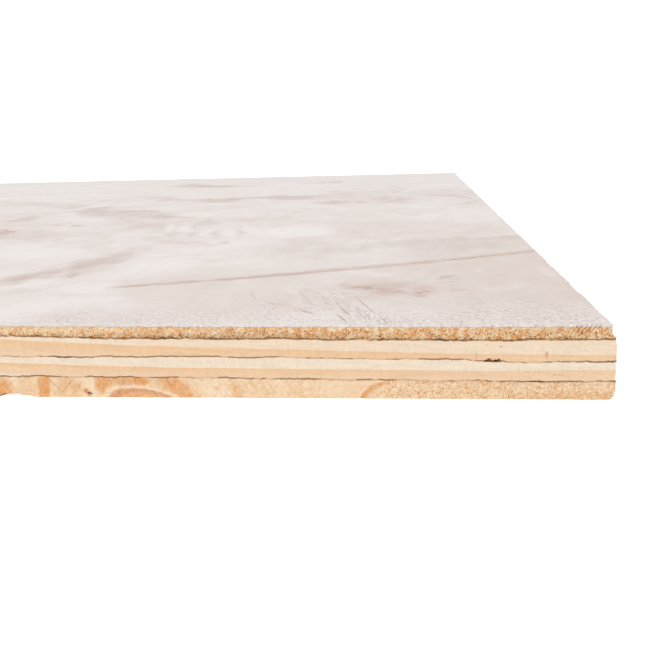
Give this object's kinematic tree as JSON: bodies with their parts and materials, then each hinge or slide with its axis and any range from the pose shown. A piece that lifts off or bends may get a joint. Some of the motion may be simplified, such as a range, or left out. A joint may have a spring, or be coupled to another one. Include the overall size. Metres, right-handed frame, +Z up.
{
  "type": "plywood sheet",
  "caption": "Square softwood plywood sheet with pale faces and a sawn edge that shows crosswise veneers and dark glue lines.",
  "frame": {"origin": "centre of the underside, on the floor that the sheet lies on", "axes": "+Z up through the thickness, +Y along the sheet with the grain of the outer veneers, +X across it"},
  "size_m": [0.61, 0.61, 0.012],
  "materials": {
    "face_wood": "pale, dry, lightly sanded veneer with golden end grain on its sawn edge",
    "core_wood": "sawn smooth along the grain, cream above and peach below",
    "back_wood": "sawn end grain with growth rings",
    "glue": "thin, dark, broken line of cured resin"
  },
  "bodies": {
    "root": {"back_veneer": "back_wood", "lower_glue_line": "glue", "lower_core_veneer": "core_wood", "middle_glue_line": "glue", "upper_core_veneer": "core_wood", "upper_glue_line": "glue", "face_veneer": "face_wood"}
  },
  "joints": []
}
